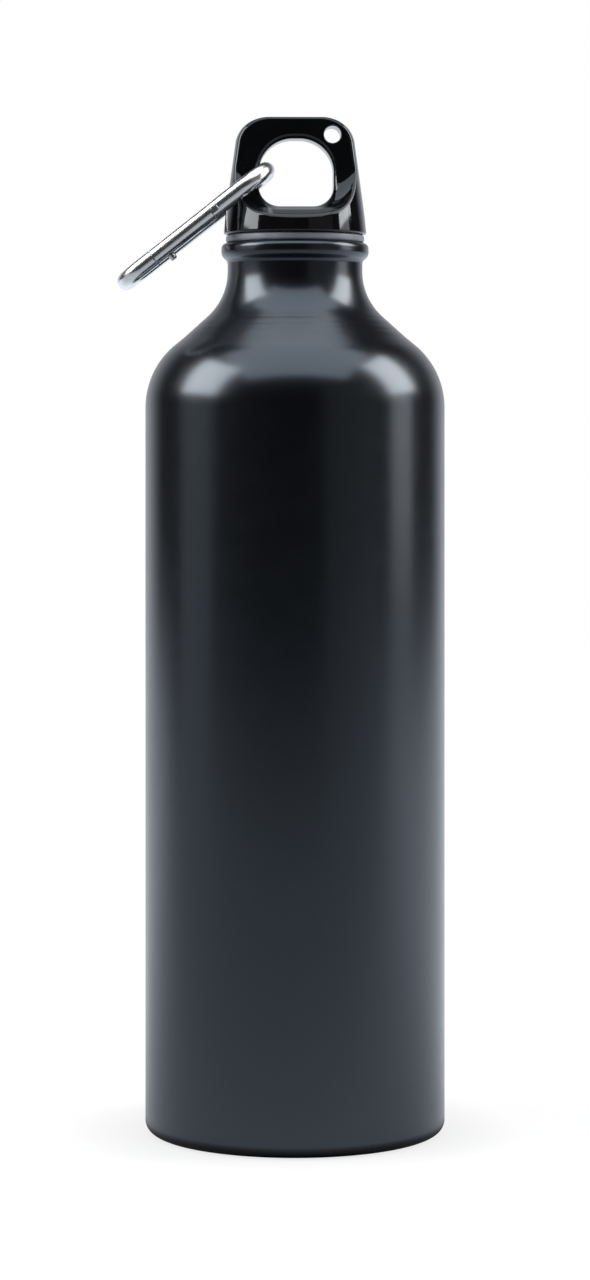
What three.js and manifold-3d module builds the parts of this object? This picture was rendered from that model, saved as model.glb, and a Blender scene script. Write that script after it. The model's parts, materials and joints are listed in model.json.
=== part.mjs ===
// Aluminium water bottle with a screw cap, a carry loop and a small spring hook.
// Millimetres, +Z up. The origin is on the bottle's axis, in the plane that it stands on.
// The loop's flat sides face -Y (front) and +Y (back), and the hook lies out to -X.

import * as THREE from 'three';
import { mergeVertices } from 'three/addons/utils/BufferGeometryUtils.js';
import Module from 'manifold-3d';

const wasm = await Module();
wasm.setup();

// Bottle body
const BODY_RADIUS = 36.95; // outside of the straight side
const SIDE_WALL = 0.9; // wall of the side and the base
const NECK_WALL = 1.7; // wall of the neck
const BASE_CORNER = 3; // round outer edge of the base
const STAND_INNER = 30; // inner radius of the flat ring that it stands on
const BASE_RISE = 6; // height of the hollow under the base, at its middle
const SIDE_HEIGHT = 178.5; // from the table to the top of the straight side
const SHOULDER_LEAN = THREE.MathUtils.degToRad(48.8); // straight part of the shoulder, from the axis
const NECK_HEIGHT = 6.9; // straight neck and lip
const SHOULDER_ROUND = 20; // outward curve of the shoulder
const NECK_ROUND = 15; // inward curve under the neck
const NECK_RADIUS = 16.65; // outside of the neck
const BEAD_ROUND = 2.15; // section radius of the rolled lip
const BEAD_OUT = 1.55; // how far the rolled lip stands out from the neck
const MOUTH_EDGE = 0.8; // round inner edge of the mouth

// Cap
const SEAT_GAP = 0.25; // air between pieces that seat on each other
const SEAL_THICKNESS = 1.6;
const SEAL_RADIUS = 17.1; // outside of the sealing ring
const SEAL_EDGE = 0.5; // round edges of the sealing ring
const CAP_RIM = 17.7; // radius of the cap at its lower rim
const CAP_HEIGHT = 28.85; // from the rim's underside to the top of the loop
const CAP_TAPER = THREE.MathUtils.degToRad(7.75); // lean of the cap's side
const CAP_ROUND = 7.2; // round shoulders of the loop
const RIM_EDGE = 0.6; // round lower edge of the rim
const LOOP_THICKNESS = 9.6; // front to back
const SCOOP_ROUND = 9.6; // hollow curve from the loop's flat side to the rim
const SCOOP_HEIGHT = 15.05; // centre of that curve, above the rim's underside
const SCOOP_TURN = THREE.MathUtils.degToRad(71); // how far the curve turns before it runs straight
const WINDOW_HALF = 9.65; // half width of the loop's window
const WINDOW_FLOOR = 6.75; // thickness of the cap under the window
const TOP_BAR = 4.7; // thickness of the loop over the window
const WINDOW_TOP_ROUND = 0.98; // upper corners, as a share of the largest round that fits
const WINDOW_FLOOR_ROUND = 0.8; // lower corners, the same
const CORD_HOLE = 4.5; // diameter of the small hole in the loop's shoulder
const CORD_HOLE_DEPTH = 3.8; // its centre, in from the round shoulder
const CORD_HOLE_ANGLE = THREE.MathUtils.degToRad(58); // its place round the shoulder, up from +X
const PLUG_RADIUS = 13.4; // core of the plug, inside its thread
const PLUG_WALL = 1.7;
const PLUG_FLOOR = 1.8;
const PLUG_DEPTH = 12; // how far it reaches below the top of the mouth
const PLUG_SOCKET = 3.6; // how far it reaches up into the cap
const PLUG_EDGE = 1; // chamfer round the plug's lower end

// Hook
const HOOK_LENGTH = 48; // over all
const HOOK_ROD = 4.24; // diameter of the bent rod
const HOOK_NARROW = 12; // between the bars' centres at the narrow end
const HOOK_WIDE = 23.4; // between the bars' centres at the wide end
const NARROW_ROUND = 5.2; // bends of the narrow end, on the rod's centre
const WIDE_ROUND = 6.5; // bends of the wide end, on the rod's centre
const HOOK_HANG = 8.8; // where the bow bears on the loop, above the window's floor
const HOOK_DROP = THREE.MathUtils.degToRad(38.1); // how far it hangs below level
const GATE_ROD = 3.9; // diameter of the gate
const RIVET_AT = 12.7; // along the gate's side, from the corner of the narrow end
const LATCH_AT = 27; // the same, to the end of the gate's round bar
const GATE_TAIL = 3.6; // gate behind the rivet
const TAIL_GAP = 0.6; // room for the tail to turn
const LATCH_GAP = 0.25; // between the gate's round bar and the nose
const FINE_GAP = 0.15; // air between the hook's small pieces
const NOTCH_ROOM = 0.25; // air round the cross pin in the nose's notch
const TONGUE_THICKNESS = 1.4; // flat end of the frame, inside the gate's fork
const TONGUE_HALF = 1.5; // half height of the tongue
const TONGUE_REACH = 2; // tongue past the rivet
const BLADE_THICKNESS = 1.2; // flat tip of the gate, inside the nose
const BLADE_REACH = 1.7;
const BLADE_HALF = 1.4; // half height of the blade
const LATCH_PIN = 0.9; // diameter of the cross pin in the blade
const LATCH_PIN_LENGTH = 3;
const RIVET_SHANK = 1.3; // diameter
const RIVET_HEAD = 1.7; // diameter of the end that stands out
const RIVET_PROUD = 1; // how far that end stands out below the gate
const SPRING_WIRE = 0.4; // diameter
const SPRING_MEAN = 1.2; // coil diameter on the wire's centre
const SPRING_CURLS = 6;
const SPRING_PITCH = 1.1;
const PLUNGER_RADIUS = 0.8;
const PLUNGER_LENGTH = 3;

// Facets
const ROUND_SIDES = 48; // round the bottle and the cap
const ROD_SIDES = 16; // round the hook's rod
const PIN_SIDES = 12; // round the small pins
const WIRE_SIDES = 5;
const CURL_STEPS = 8;
const ARC_STEPS = 3; // half the steps of an arc in a profile
const HOOK_STEPS = 56; // along the bent rod
const OVERCUT = 5; // cutters reach past the piece by this much
const SAME_POINT = 1e-4; // corners nearer than this are one corner

const QUARTER = Math.PI / 2;

// Derived places that several pieces share
const shoulderBend = SHOULDER_ROUND + NECK_ROUND;
const shoulderAcross = BODY_RADIUS - NECK_RADIUS - shoulderBend * (1 - Math.cos(SHOULDER_LEAN));
const shoulderUp = shoulderBend * Math.sin(SHOULDER_LEAN) + shoulderAcross / Math.tan(SHOULDER_LEAN);
const neckZ = SIDE_HEIGHT + shoulderUp;
const lipZ = neckZ + NECK_HEIGHT;
const neckBore = NECK_RADIUS - NECK_WALL;
const sealBottom = lipZ + SEAT_GAP;
const sealTop = sealBottom + SEAL_THICKNESS;
const capBase = sealTop + SEAT_GAP;
const capTop = capBase + CAP_HEIGHT;
const plugBottom = lipZ - PLUG_DEPTH;
const plugTop = capBase + PLUG_SOCKET;
const windowFloor = capBase + WINDOW_FLOOR;
const windowTop = capTop - TOP_BAR;
const rodRadius = HOOK_ROD / 2;
const gateRadius = GATE_ROD / 2;
const hookSpan = HOOK_LENGTH - HOOK_ROD;
const gateLean = Math.atan2((HOOK_WIDE - HOOK_NARROW) / 2, hookSpan);
const latchReach = LATCH_AT - RIVET_AT;
const latchPinAt = latchReach + LATCH_GAP + BLADE_REACH / 2;
const forkDepth = Math.hypot(TONGUE_REACH, TONGUE_HALF) + FINE_GAP;
const plungerTip = TONGUE_REACH + LATCH_GAP;
const springStart = plungerTip + PLUNGER_LENGTH + LATCH_GAP + SPRING_WIRE / 2;
const springLength = SPRING_CURLS * SPRING_PITCH;
const boreRadius = PLUNGER_RADIUS + FINE_GAP;
const boreEnd = springStart + springLength + SPRING_WIRE / 2 + FINE_GAP;

// How far the bow curves away from its end line at the loop's flat sides, on the rod's inner side
function bowSag() {
  const bend = WIDE_ROUND - rodRadius;
  const straight = HOOK_WIDE / 2 - WIDE_ROUND / Math.tan((QUARTER - gateLean) / 2);
  const past = Math.max(0, LOOP_THICKNESS / 2 - straight);
  return bend - Math.sqrt(bend ** 2 - past ** 2);
}

// Closed solid of a geometry, with its shared corners merged and its flat slivers dropped
function solid(geometry) {
  const bare = geometry.clone();
  bare.deleteAttribute('normal');
  bare.deleteAttribute('uv');
  const merged = mergeVertices(bare, SAME_POINT);
  const corners = merged.index.array;
  const triVerts = [];
  for (let i = 0; i < corners.length; i += 3) {
    const [a, b, c] = corners.slice(i, i + 3);
    if (a !== b && b !== c && c !== a) triVerts.push(a, b, c);
  }
  const mesh = new wasm.Mesh({
    numProp: 3,
    vertProperties: new Float32Array(merged.attributes.position.array),
    triVerts: new Uint32Array(triVerts),
  });
  return new wasm.Manifold(mesh);
}

// Geometry of a solid
function surface(body) {
  const mesh = body.getMesh();
  const geometry = new THREE.BufferGeometry();
  geometry.setAttribute('position', new THREE.BufferAttribute(mesh.vertProperties, 3));
  geometry.setIndex(new THREE.BufferAttribute(mesh.triVerts, 1));
  geometry.computeVertexNormals();
  return geometry;
}

// Body of revolution about Z, from a profile of radius and height
function revolve(path, sides = ROUND_SIDES) {
  return new THREE.LatheGeometry(path.getPoints(ARC_STEPS), sides).rotateX(QUARTER);
}

// Round bar along X between two places
function barAlongX(radius, from, to, sides = ROD_SIDES) {
  const bar = new THREE.CylinderGeometry(radius, radius, to - from, sides);
  return bar.rotateZ(-QUARTER).translate((from + to) / 2, 0, 0);
}

// Round bar along Z between two places, at a point of the XY plane
function barAlongZ(radius, from, to, x = 0, y = 0, sides = PIN_SIDES) {
  const bar = new THREE.CylinderGeometry(radius, radius, to - from, sides);
  return bar.rotateX(QUARTER).translate(x, y, (from + to) / 2);
}

// Box between two corners
function block(x0, x1, y0, y1, z0, z1) {
  const box = new THREE.BoxGeometry(x1 - x0, y1 - y0, z1 - z0);
  return box.translate((x0 + x1) / 2, (y0 + y1) / 2, (z0 + z1) / 2);
}

// Regular polygon that stands for a round section
function disc(radius, sides) {
  const points = [];
  for (let i = 0; i < sides; i++) {
    const angle = (2 * Math.PI * i) / sides;
    points.push(new THREE.Vector2(radius * Math.cos(angle), radius * Math.sin(angle)));
  }
  return new THREE.Shape(points);
}

// One shell: hollow base, straight side, shoulder, neck and rolled lip, then back down the inside
function bottleBody() {
  const domeRadius = (STAND_INNER ** 2 + BASE_RISE ** 2) / (2 * BASE_RISE);
  const domeZ = BASE_RISE - domeRadius;
  const domeEdge = Math.acos(STAND_INNER / domeRadius);
  const cornerX = BODY_RADIUS - BASE_CORNER;
  const shoulderX = BODY_RADIUS - SHOULDER_ROUND;
  const neckX = NECK_RADIUS + NECK_ROUND;
  const beadX = NECK_RADIUS + BEAD_OUT - BEAD_ROUND;
  const beadZ = lipZ - BEAD_ROUND;
  const beadStart = Math.acos((NECK_RADIUS - beadX) / BEAD_ROUND);
  const path = new THREE.Path();
  path.moveTo(0, BASE_RISE);
  path.absarc(0, domeZ, domeRadius, QUARTER, domeEdge, true);
  path.lineTo(cornerX, 0);
  path.absarc(cornerX, BASE_CORNER, BASE_CORNER, -QUARTER, 0, false);
  path.absarc(shoulderX, SIDE_HEIGHT, SHOULDER_ROUND, 0, SHOULDER_LEAN, false);
  path.absarc(neckX, neckZ, NECK_ROUND, Math.PI + SHOULDER_LEAN, Math.PI, true);
  path.absarc(beadX, beadZ, BEAD_ROUND, -beadStart, QUARTER, false);
  path.absarc(neckBore + MOUTH_EDGE, lipZ - MOUTH_EDGE, MOUTH_EDGE, QUARTER, Math.PI, false);
  path.absarc(neckX, neckZ, NECK_ROUND + NECK_WALL, Math.PI, Math.PI + SHOULDER_LEAN, false);
  path.absarc(shoulderX, SIDE_HEIGHT, SHOULDER_ROUND - SIDE_WALL, SHOULDER_LEAN, 0, true);
  path.absarc(cornerX, BASE_CORNER, BASE_CORNER - SIDE_WALL, 0, -QUARTER, true);
  path.absarc(0, domeZ, domeRadius + SIDE_WALL, domeEdge, QUARTER, false);
  return surface(solid(revolve(path)));
}

// Flat ring with round outer edges, round the plug and between the lip and the cap
function sealingRing() {
  const inner = PLUG_RADIUS + SEAT_GAP;
  const edgeX = SEAL_RADIUS - SEAL_EDGE;
  const path = new THREE.Path();
  path.moveTo(inner, sealBottom);
  path.lineTo(edgeX, sealBottom);
  path.absarc(edgeX, sealBottom + SEAL_EDGE, SEAL_EDGE, -QUARTER, 0, false);
  path.absarc(edgeX, sealTop - SEAL_EDGE, SEAL_EDGE, 0, QUARTER, false);
  path.lineTo(inner, sealTop);
  path.lineTo(inner, sealBottom);
  return surface(solid(revolve(path)));
}

// Centre of the round shoulder of the loop, on the +X side
function capShoulder() {
  const height = capTop - CAP_ROUND;
  const touchZ = height + CAP_ROUND * Math.sin(CAP_TAPER);
  const touchX = CAP_RIM - (touchZ - capBase) * Math.tan(CAP_TAPER);
  return new THREE.Vector2(touchX - CAP_ROUND * Math.cos(CAP_TAPER), height);
}

// Turned form of the cap, with the socket for the plug underneath
function capBlank() {
  const shoulder = capShoulder();
  const socket = PLUG_RADIUS + SEAT_GAP;
  const ceiling = plugTop + SEAT_GAP;
  const path = new THREE.Path();
  path.moveTo(0, ceiling);
  path.lineTo(socket, ceiling);
  path.lineTo(socket, capBase);
  path.absarc(CAP_RIM - RIM_EDGE, capBase + RIM_EDGE, RIM_EDGE, -QUARTER, 0, false);
  path.absarc(shoulder.x, shoulder.y, CAP_ROUND, CAP_TAPER, QUARTER, false);
  path.lineTo(0, capTop);
  return solid(revolve(path));
}

// Cutter that hollows the cap's back down to the loop's flat side
function scoop() {
  const side = LOOP_THICKNESS / 2;
  const centreY = side + SCOOP_ROUND;
  const centreZ = capBase + SCOOP_HEIGHT;
  const endY = centreY - SCOOP_ROUND * Math.cos(SCOOP_TURN);
  const endZ = centreZ - SCOOP_ROUND * Math.sin(SCOOP_TURN);
  const farY = CAP_RIM + OVERCUT;
  const farZ = endZ - (farY - endY) * Math.tan(QUARTER - SCOOP_TURN);
  const shape = new THREE.Shape();
  shape.moveTo(side, capTop + OVERCUT);
  shape.lineTo(side, centreZ);
  shape.absarc(centreY, centreZ, SCOOP_ROUND, Math.PI, Math.PI + SCOOP_TURN, false);
  shape.lineTo(farY, farZ);
  shape.lineTo(farY, capTop + OVERCUT);
  const depth = 2 * (CAP_RIM + OVERCUT);
  const options = { depth, bevelEnabled: false, curveSegments: 2 * ARC_STEPS };
  const cutter = new THREE.ExtrudeGeometry(shape, options);
  const place = new THREE.Matrix4().makeBasis(
    new THREE.Vector3(0, 1, 0),
    new THREE.Vector3(0, 0, 1),
    new THREE.Vector3(1, 0, 0),
  );
  return cutter.translate(0, 0, -depth / 2).applyMatrix4(place);
}

// Cutter for the loop's window, with wide round corners above and tighter ones below
function loopWindow() {
  const largest = Math.min(WINDOW_HALF, (windowTop - windowFloor) / 2);
  const top = WINDOW_TOP_ROUND * largest;
  const floor = WINDOW_FLOOR_ROUND * largest;
  const shape = new THREE.Shape();
  shape.moveTo(WINDOW_HALF - floor, windowFloor);
  shape.absarc(WINDOW_HALF - floor, windowFloor + floor, floor, -QUARTER, 0, false);
  shape.absarc(WINDOW_HALF - top, windowTop - top, top, 0, QUARTER, false);
  shape.absarc(top - WINDOW_HALF, windowTop - top, top, QUARTER, Math.PI, false);
  shape.absarc(floor - WINDOW_HALF, windowFloor + floor, floor, Math.PI, Math.PI + QUARTER, false);
  const depth = 2 * (CAP_RIM + OVERCUT);
  const cutter = new THREE.ExtrudeGeometry(shape, { depth, bevelEnabled: false, curveSegments: ARC_STEPS });
  return cutter.translate(0, 0, -depth / 2).rotateX(QUARTER);
}

// Cap moulding: turned blank, hollowed front and back, with the window and the cord hole
function capShell() {
  const back = scoop();
  const front = back.clone().rotateZ(Math.PI);
  const shoulder = capShoulder();
  const reach = CAP_ROUND - CORD_HOLE_DEPTH;
  const holeX = shoulder.x + reach * Math.cos(CORD_HOLE_ANGLE);
  const holeZ = shoulder.y + reach * Math.sin(CORD_HOLE_ANGLE);
  const length = LOOP_THICKNESS + 2 * OVERCUT;
  const hole = new THREE.CylinderGeometry(CORD_HOLE / 2, CORD_HOLE / 2, length, ROD_SIDES);
  hole.translate(holeX, 0, holeZ);
  let body = capBlank().subtract(solid(back)).subtract(solid(front));
  body = body.subtract(solid(loopWindow())).subtract(solid(hole));
  return surface(body);
}

// Hollow plug, closed below and open up into the cap
function capPlug() {
  const inner = PLUG_RADIUS - PLUG_WALL;
  const path = new THREE.Path();
  path.moveTo(0, plugBottom);
  path.lineTo(PLUG_RADIUS - PLUG_EDGE, plugBottom);
  path.lineTo(PLUG_RADIUS, plugBottom + PLUG_EDGE);
  path.lineTo(PLUG_RADIUS, plugTop);
  path.lineTo(inner, plugTop);
  path.lineTo(inner, plugBottom + PLUG_FLOOR);
  path.lineTo(0, plugBottom + PLUG_FLOOR);
  return surface(solid(revolve(path)));
}

// The hook lies in its own XY plane: X from the narrow end to the wide end, with the bow's centre
// at 0, and Y from the gate's bar to the back bar.
const narrowCorner = new THREE.Vector2(-hookSpan, HOOK_NARROW / 2);
const wideCorner = new THREE.Vector2(0, HOOK_WIDE / 2);

// Point on the gate's side, at a distance from the corner of the narrow end
function onGateSide(distance) {
  const x = narrowCorner.x + distance * Math.cos(gateLean);
  const y = -narrowCorner.y - distance * Math.sin(gateLean);
  return new THREE.Vector2(x, y);
}

// Flat path through corners, each rounded by an arc; every turn is to the right
function roundedPath(start, corners, end) {
  const path = new THREE.Path();
  path.moveTo(start.x, start.y);
  corners.forEach(({ at, round }, i) => {
    const before = (i === 0 ? start : corners[i - 1].at).clone().sub(at).normalize();
    const after = (i === corners.length - 1 ? end : corners[i + 1].at).clone().sub(at).normalize();
    const half = Math.acos(before.dot(after)) / 2;
    const centre = before.clone().add(after).setLength(round / Math.sin(half)).add(at);
    const from = before.clone().multiplyScalar(round / Math.tan(half)).add(at);
    const to = after.clone().multiplyScalar(round / Math.tan(half)).add(at);
    path.lineTo(from.x, from.y);
    path.absarc(centre.x, centre.y, round, from.sub(centre).angle(), to.sub(centre).angle(), true);
  });
  path.lineTo(end.x, end.y);
  return path;
}

// Centre line of the bent rod, from the tongue round the narrow end, the back bar and the bow to the nose
class RodLine extends THREE.Curve {
  constructor(path) {
    super();
    this.path = path;
  }

  getPoint(t, target = new THREE.Vector3()) {
    const point = this.path.getPointAt(t);
    return target.set(point.x, point.y, 0);
  }
}

// The gate's own frame: rivet at 0, X along the gate to the latch, Y inwards, Z across the hook
function gatePlace() {
  const rivet = onGateSide(RIVET_AT);
  return new THREE.Matrix4().makeRotationZ(-gateLean).setPosition(rivet.x, rivet.y, 0);
}

// Bent rod with a flat tongue for the gate's fork at one end and a notched nose at the other
function hookFrame() {
  const { x: nx, y: ny } = narrowCorner;
  const { x: wx, y: wy } = wideCorner;
  const corners = [
    { at: new THREE.Vector2(nx, -ny), round: NARROW_ROUND },
    { at: new THREE.Vector2(nx, ny), round: NARROW_ROUND },
    { at: new THREE.Vector2(wx, wy), round: WIDE_ROUND },
    { at: new THREE.Vector2(wx, -wy), round: WIDE_ROUND },
  ];
  const tongueTip = onGateSide(RIVET_AT + TONGUE_REACH);
  const noseTip = onGateSide(LATCH_AT + LATCH_GAP);
  const extrudePath = new RodLine(roundedPath(tongueTip, corners, noseTip));
  const rod = new THREE.ExtrudeGeometry(disc(rodRadius, ROD_SIDES), { steps: HOOK_STEPS, extrudePath });
  const place = gatePlace();
  const cut = (geometry) => solid(geometry.applyMatrix4(place));
  const far = rodRadius + OVERCUT;
  const shoulder = -GATE_TAIL - TAIL_GAP;
  const tip = TONGUE_REACH + OVERCUT;
  const pinRoom = LATCH_PIN / 2 + NOTCH_ROOM;
  const bladeRoom = BLADE_THICKNESS / 2 + FINE_GAP;
  const noseDepth = latchReach + LATCH_GAP + BLADE_REACH + LATCH_GAP;
  let body = solid(rod);
  for (const side of [-1, 1]) {
    const cheek = block(shoulder, tip, -far, far, TONGUE_THICKNESS / 2, far);
    body = body.subtract(cut(cheek.rotateX(side < 0 ? Math.PI : 0)));
    const edge = block(shoulder, tip, TONGUE_HALF, far, -far, far);
    body = body.subtract(cut(edge.rotateX(side < 0 ? Math.PI : 0)));
  }
  body = body.subtract(cut(barAlongZ(RIVET_SHANK / 2 + FINE_GAP, -far, far)));
  body = body.subtract(cut(block(latchReach, noseDepth, -far, far, -bladeRoom, bladeRoom)));
  body = body.subtract(cut(block(latchPinAt - pinRoom, latchPinAt + pinRoom, -pinRoom, far, -far, far)));
  return surface(body);
}

// Straight bar with a fork over the tongue, a bore for the spring and a flat blade at the tip
function hookGate() {
  const far = gateRadius + OVERCUT;
  const tongueRoom = TONGUE_THICKNESS / 2 + FINE_GAP;
  const bladeStart = latchReach;
  const bladeEnd = bladeStart + LATCH_GAP + BLADE_REACH;
  let body = solid(barAlongX(gateRadius, -GATE_TAIL, bladeStart));
  const blade = block(
    bladeStart - OVERCUT / 2, bladeEnd,
    -BLADE_HALF, BLADE_HALF,
    -BLADE_THICKNESS / 2, BLADE_THICKNESS / 2,
  );
  body = body.add(solid(blade));
  body = body.subtract(solid(block(-GATE_TAIL - OVERCUT, forkDepth, -far, far, -tongueRoom, tongueRoom)));
  body = body.subtract(solid(barAlongX(boreRadius, 0, boreEnd, PIN_SIDES)));
  body = body.subtract(solid(barAlongZ(RIVET_SHANK / 2 + FINE_GAP, -far, far)));
  body = body.subtract(solid(barAlongZ(LATCH_PIN / 2 + FINE_GAP, -far, far, latchPinAt)));
  return surface(body);
}

// Shank through the fork and the tongue, flush above and with a domed end below
function gateRivet() {
  const path = new THREE.Path();
  const headRadius = RIVET_HEAD / 2;
  const seat = -gateRadius - FINE_GAP;
  const tip = -gateRadius - RIVET_PROUD;
  path.moveTo(0, tip);
  path.lineTo(headRadius - FINE_GAP, tip);
  path.lineTo(headRadius, tip + FINE_GAP);
  path.lineTo(headRadius, seat);
  path.lineTo(RIVET_SHANK / 2, seat);
  path.lineTo(RIVET_SHANK / 2, gateRadius);
  path.lineTo(0, gateRadius);
  return surface(solid(revolve(path, PIN_SIDES)));
}

// Small pin across the blade
function latchPin() {
  const half = LATCH_PIN_LENGTH / 2;
  return surface(solid(barAlongZ(LATCH_PIN / 2, -half, half, latchPinAt)));
}

// Pin that the spring presses on the end of the tongue
function gatePlunger() {
  const end = plungerTip + PLUNGER_LENGTH;
  return surface(solid(barAlongX(PLUNGER_RADIUS, plungerTip, end, PIN_SIDES)));
}

// Centre line of the coil inside the gate
class SpringLine extends THREE.Curve {
  getPoint(t, target = new THREE.Vector3()) {
    const angle = 2 * Math.PI * SPRING_CURLS * t;
    const radius = SPRING_MEAN / 2;
    return target.set(springStart + springLength * t, radius * Math.cos(angle), radius * Math.sin(angle));
  }
}

// Least air between the coil's turns, measured on points of its centre line
function springGap(line) {
  const steps = SPRING_CURLS * CURL_STEPS;
  const points = line.getSpacedPoints(steps);
  let least = Infinity;
  for (let i = 0; i <= steps; i++) {
    for (let j = i + CURL_STEPS / 2; j <= steps; j++) {
      least = Math.min(least, points[i].distanceTo(points[j]));
    }
  }
  return least - SPRING_WIRE;
}

// Coil of round wire, one unbroken tube
function gateSpring() {
  const extrudePath = new SpringLine();
  const steps = SPRING_CURLS * CURL_STEPS;
  console.log(`gate_spring: least gap between turns ${springGap(extrudePath).toFixed(2)} mm`);
  const section = disc(SPRING_WIRE / 2, WIRE_SIDES);
  return surface(solid(new THREE.ExtrudeGeometry(section, { steps, extrudePath })));
}

// Named mesh with its own finish
function piece(name, geometry, color, roughness, metalness) {
  const mesh = new THREE.Mesh(geometry, new THREE.MeshStandardMaterial({ color, roughness, metalness }));
  mesh.name = name;
  return mesh;
}

const gate = new THREE.Group();
gate.applyMatrix4(gatePlace());
gate.add(piece('hook_gate', hookGate(), 0xc8cacd, 0.2, 1));
gate.add(piece('gate_rivet', gateRivet(), 0x9a9da1, 0.3, 1));
gate.add(piece('latch_pin', latchPin(), 0x9a9da1, 0.3, 1));
gate.add(piece('gate_plunger', gatePlunger(), 0xb59a5a, 0.4, 1));
gate.add(piece('gate_spring', gateSpring(), 0x8c8f94, 0.35, 1));

const hook = new THREE.Group();
hook.position.set(bowSag() + SEAT_GAP + rodRadius - WINDOW_HALF, 0, windowFloor + HOOK_HANG);
hook.rotation.y = -HOOK_DROP;
hook.add(piece('hook_frame', hookFrame(), 0xc8cacd, 0.2, 1));
hook.add(gate);

const bottle = new THREE.Group();
bottle.add(piece('bottle_body', bottleBody(), 0x141518, 0.45, 0));
bottle.add(piece('sealing_ring', sealingRing(), 0x6f7276, 0.6, 0));
bottle.add(piece('cap_shell', capShell(), 0x060607, 0.08, 0));
bottle.add(piece('cap_plug', capPlug(), 0x0c0c0e, 0.35, 0));
bottle.add(hook);

export default bottle;
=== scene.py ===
# %% [markdown]
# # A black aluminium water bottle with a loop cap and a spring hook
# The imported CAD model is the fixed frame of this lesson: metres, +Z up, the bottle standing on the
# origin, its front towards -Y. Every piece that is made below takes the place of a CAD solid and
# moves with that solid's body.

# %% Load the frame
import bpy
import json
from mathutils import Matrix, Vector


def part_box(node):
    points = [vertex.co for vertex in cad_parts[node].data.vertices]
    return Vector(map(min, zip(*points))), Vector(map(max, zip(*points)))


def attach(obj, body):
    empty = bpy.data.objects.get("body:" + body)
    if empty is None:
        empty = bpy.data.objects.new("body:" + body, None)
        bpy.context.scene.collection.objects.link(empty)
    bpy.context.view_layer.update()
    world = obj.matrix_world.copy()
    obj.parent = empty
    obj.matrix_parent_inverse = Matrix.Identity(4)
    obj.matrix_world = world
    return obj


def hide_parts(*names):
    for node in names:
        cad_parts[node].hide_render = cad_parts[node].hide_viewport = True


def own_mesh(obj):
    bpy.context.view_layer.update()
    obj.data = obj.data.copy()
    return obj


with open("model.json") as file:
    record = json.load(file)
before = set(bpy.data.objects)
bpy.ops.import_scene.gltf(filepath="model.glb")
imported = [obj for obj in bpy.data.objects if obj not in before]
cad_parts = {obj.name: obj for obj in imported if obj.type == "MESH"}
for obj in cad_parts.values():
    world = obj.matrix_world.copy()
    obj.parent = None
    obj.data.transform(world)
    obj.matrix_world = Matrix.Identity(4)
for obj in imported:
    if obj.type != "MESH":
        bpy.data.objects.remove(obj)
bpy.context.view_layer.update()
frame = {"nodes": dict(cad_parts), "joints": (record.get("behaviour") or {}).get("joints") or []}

# %% [markdown]
# ## Working habits
# An operator acts on everything that is selected, and the loaded CAD solids are selected. So each
# step puts everything down first and takes up one piece. Sizes are written in millimetres, as a
# drawing of the bottle would give them, and are turned into metres where a mesh is made.

# %% Put down, take up, open
import json
import math
import bpy
import numpy as np
from mathutils import Matrix, Vector

MM = 0.001


def put_down():
    if bpy.context.mode != "OBJECT":
        bpy.ops.object.mode_set(mode="OBJECT")
    bpy.ops.object.select_all(action="DESELECT")


def take_up(piece):
    put_down()
    piece.select_set(True)
    bpy.context.view_layer.objects.active = piece


def open_mesh(piece):
    take_up(piece)
    bpy.ops.object.mode_set(mode="EDIT")
    bpy.ops.mesh.select_all(action="SELECT")


put_down()
print("solids put down:", ", ".join(frame["nodes"]))


# %% Hand a finished piece to the frame
def hand_over(piece, body, node):
    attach(piece, body)
    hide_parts(node)
    put_down()
    sizes = ", ".join(f"{length / MM:.1f}" for length in piece.dimensions)
    print(f"{piece.name}: {len(piece.data.polygons)} faces, {sizes} mm")


# %% [markdown]
# ## Turned pieces
# The bottle, the ring, the plug and the pins are all round. A lathe makes them from one cut line,
# and so does Blender: a plane is merged to a single corner, the corner is extruded along the cut
# line, and Spin carries the line once round the axis. A subdivided cylinder would need a ring
# for each change of the line, and its curves would only come near the real ones.

# %% Draw a cut line and turn it
WELD = 1e-6


def arc(centre, radius, start, end, steps):
    turns = np.radians(np.linspace(start, end, steps + 1))
    x, z = centre
    return [(x + radius * math.cos(t), z + radius * math.sin(t)) for t in turns]


def draw_line(name, corners):
    put_down()
    bpy.ops.mesh.primitive_plane_add(size=MM)
    line = bpy.context.object
    line.name = line.data.name = name
    open_mesh(line)
    bpy.ops.mesh.merge(type="CENTER")
    points = [Vector((x, 0, z)) * MM for x, z in corners]
    bpy.ops.transform.translate(value=points[0])
    for here, there in zip(points, points[1:]):
        bpy.ops.mesh.extrude_vertices_move(TRANSFORM_OT_translate={"value": there - here})
    return line


def face_outwards(piece):
    open_mesh(piece)
    bpy.ops.mesh.remove_doubles(threshold=WELD)
    bpy.ops.mesh.normals_make_consistent(inside=False)
    put_down()


def turn(line, sides):
    open_mesh(line)
    bpy.ops.mesh.spin(steps=sides, angle=2 * math.pi, center=(0, 0, 0), axis=(0, 0, 1))
    face_outwards(line)
    take_up(line)
    bpy.ops.object.shade_smooth()
    return line


print("corners in a quarter round of 8 steps:", len(arc((0, 0), 1, 0, 90, 8)))

# %% [markdown]
# ## The bottle's shell
# The real shell is drawn from one disc of aluminium: a hollow base, a straight side, a shoulder
# that is necked in, and a lip that is rolled outwards. One cut line holds all of it, out along the
# outside and back down the inside, so the wall has its true thickness at the mouth.

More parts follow.
